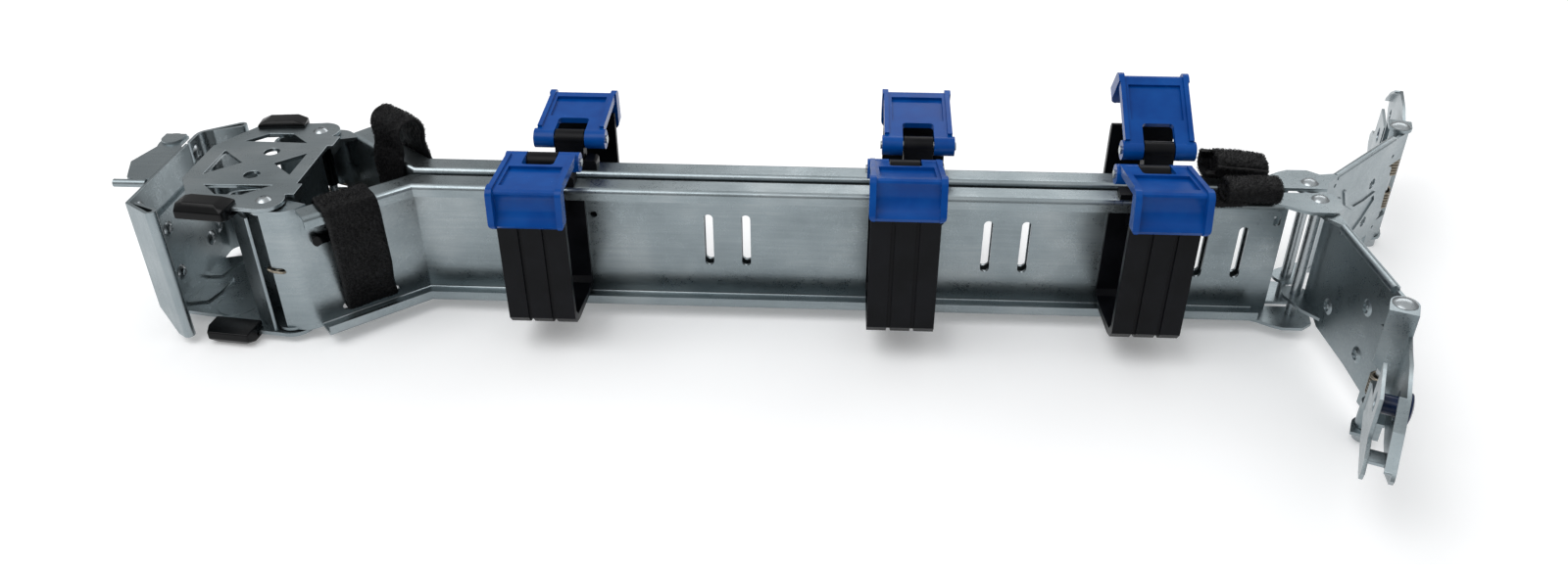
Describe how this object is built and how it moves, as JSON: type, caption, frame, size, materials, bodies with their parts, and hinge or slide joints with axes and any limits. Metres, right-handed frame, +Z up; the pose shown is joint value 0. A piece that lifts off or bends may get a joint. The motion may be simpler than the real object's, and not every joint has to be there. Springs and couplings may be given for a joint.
{
  "type": "server cable management arm",
  "caption": "Folding cable management arm for a rack server: two steel channel arms on an elbow link with a cable guard, hinged cable baskets, straps and sprung rail brackets.",
  "frame": {"origin": "centre of the bounding box of the folded arm, on the plane it rests on", "axes": "+X along the folded arms from the elbow link to the rail brackets, +Y from the front arm to the rear arm, +Z up"},
  "size_m": [0.5118, 0.2555, 0.0851],
  "materials": {
    "zinc_steel": "zinc-plated sheet, faintly bluish, satin",
    "spring_steel": "oiled spring wire",
    "pin_steel": "turned and plated, satin",
    "black_plastic": "matt moulded",
    "blue_plastic": "semi-gloss moulded",
    "black_fabric": "looped pile"
  },
  "bodies": {
    "front_arm": {"front_arm_channel": "zinc_steel", "basket_f1": "black_plastic", "basket_f2": "black_plastic", "basket_f3": "black_plastic", "lid_pin_f1": "pin_steel", "lid_pin_f2": "pin_steel", "lid_pin_f3": "pin_steel", "end_pin_front": "pin_steel", "strap_front_elbow": "black_fabric", "strap_front_end": "black_fabric"},
    "link": {"link_top_plate": "zinc_steel", "link_bottom_plate": "zinc_steel", "link_inner_wall": "zinc_steel", "cable_guard": "zinc_steel", "guard_rivets": "pin_steel", "support_bracket": "zinc_steel", "glide_top_front": "black_plastic", "glide_top_rear": "black_plastic", "glide_bottom_front": "black_plastic", "glide_bottom_rear": "black_plastic", "elbow_pin_front": "pin_steel", "elbow_pin_rear": "pin_steel", "elbow_spring_front": "spring_steel", "elbow_spring_rear": "spring_steel", "elbow_sleeve_front": "black_plastic", "elbow_sleeve_rear": "black_plastic"},
    "rear_arm": {"rear_arm_channel": "zinc_steel", "basket_r1": "black_plastic", "basket_r2": "black_plastic", "basket_r3": "black_plastic", "lid_pin_r1": "pin_steel", "lid_pin_r2": "pin_steel", "lid_pin_r3": "pin_steel", "end_pin_rear": "pin_steel", "strap_rear_elbow": "black_fabric", "strap_rear_end": "black_fabric"},
    "front_bracket": {"front_bracket": "zinc_steel", "hinge_pin_front": "pin_steel", "hinge_spring_front": "spring_steel"},
    "rear_bracket": {"rear_bracket": "zinc_steel", "hinge_pin_rear": "pin_steel", "hinge_spring_rear": "spring_steel"},
    "front_latch": {"front_latch_plate": "zinc_steel", "front_keeper": "zinc_steel"},
    "rear_latch": {"rear_latch_plate": "zinc_steel", "rear_keeper": "zinc_steel"},
    "front_button": {"front_button": "blue_plastic"},
    "rear_button": {"rear_button": "blue_plastic"},
    "front_lid_1": {"lid_f1": "blue_plastic"},
    "rear_lid_1": {"lid_r1": "blue_plastic"},
    "front_lid_2": {"lid_f2": "blue_plastic"},
    "rear_lid_2": {"lid_r2": "blue_plastic"},
    "front_lid_3": {"lid_f3": "blue_plastic"},
    "rear_lid_3": {"lid_r3": "blue_plastic"}
  },
  "joints": [
    {"name": "elbow_front", "type": "hinge", "parent": "front_arm", "child": "link", "pos_m": [-0.1935, -0.0208, 0.03], "axis": [0, 0, 1], "range_deg": [0, 80]},
    {"name": "elbow_rear", "type": "hinge", "parent": "link", "child": "rear_arm", "pos_m": [-0.1935, 0.0344, 0.03], "axis": [0, 0, 1], "range_deg": [0, 80]},
    {"name": "front_bracket_swing", "type": "hinge", "parent": "front_arm", "child": "front_bracket", "pos_m": [0.1805, 0.0006, 0.03], "axis": [0, 0, 1], "range_deg": [-30, 50]},
    {"name": "rear_bracket_swing", "type": "hinge", "parent": "rear_arm", "child": "rear_bracket", "pos_m": [0.1805, 0.013, 0.03], "axis": [0, 0, 1], "range_deg": [-25, 60]},
    {"name": "front_latch_hinge", "type": "hinge", "parent": "front_bracket", "child": "front_latch", "pos_m": [0.18673, -0.0641, 0.03], "axis": [0, 0, 1], "range_deg": [0, 28], "stiffness_Nm_per_rad": 0.02, "springref_deg": -17.19},
    {"name": "rear_latch_hinge", "type": "hinge", "parent": "rear_bracket", "child": "rear_latch", "pos_m": [0.23212, 0.06462, 0.03], "axis": [0, 0, 1], "range_deg": [-28, 0], "stiffness_Nm_per_rad": 0.02, "springref_deg": 17.19},
    {"name": "front_button_push", "type": "slide", "parent": "front_latch", "child": "front_button", "axis": [-0.9239, 0.3827, 0], "range_m": [0, 0.003], "stiffness_N_per_m": 300, "springref_m": -0.001},
    {"name": "rear_button_push", "type": "slide", "parent": "rear_latch", "child": "rear_button", "axis": [-0.9563, 0.2924, 0], "range_m": [0, 0.003], "stiffness_N_per_m": 300, "springref_m": -0.001},
    {"name": "front_lid_1_hinge", "type": "hinge", "parent": "front_arm", "child": "front_lid_1", "pos_m": [-0.0968, -0.0027, 0.0652], "axis": [-1, 0, 0], "range_deg": [-2, 93]},
    {"name": "rear_lid_1_hinge", "type": "hinge", "parent": "rear_arm", "child": "rear_lid_1", "pos_m": [-0.0908, 0.0163, 0.0652], "axis": [1, 0, 0], "range_deg": [-4, 91]},
    {"name": "front_lid_2_hinge", "type": "hinge", "parent": "front_arm", "child": "front_lid_2", "pos_m": [0.0322, -0.0027, 0.0652], "axis": [-1, 0, 0], "range_deg": [-15, 80]},
    {"name": "rear_lid_2_hinge", "type": "hinge", "parent": "rear_arm", "child": "rear_lid_2", "pos_m": [0.0377, 0.0163, 0.0652], "axis": [1, 0, 0], "range_deg": [-10, 85]},
    {"name": "front_lid_3_hinge", "type": "hinge", "parent": "front_arm", "child": "front_lid_3", "pos_m": [0.1192, -0.0027, 0.0652], "axis": [-1, 0, 0], "range_deg": [-10, 85]},
    {"name": "rear_lid_3_hinge", "type": "hinge", "parent": "rear_arm", "child": "rear_lid_3", "pos_m": [0.1247, 0.0163, 0.0652], "axis": [1, 0, 0], "range_deg": [-33, 62]}
  ]
}
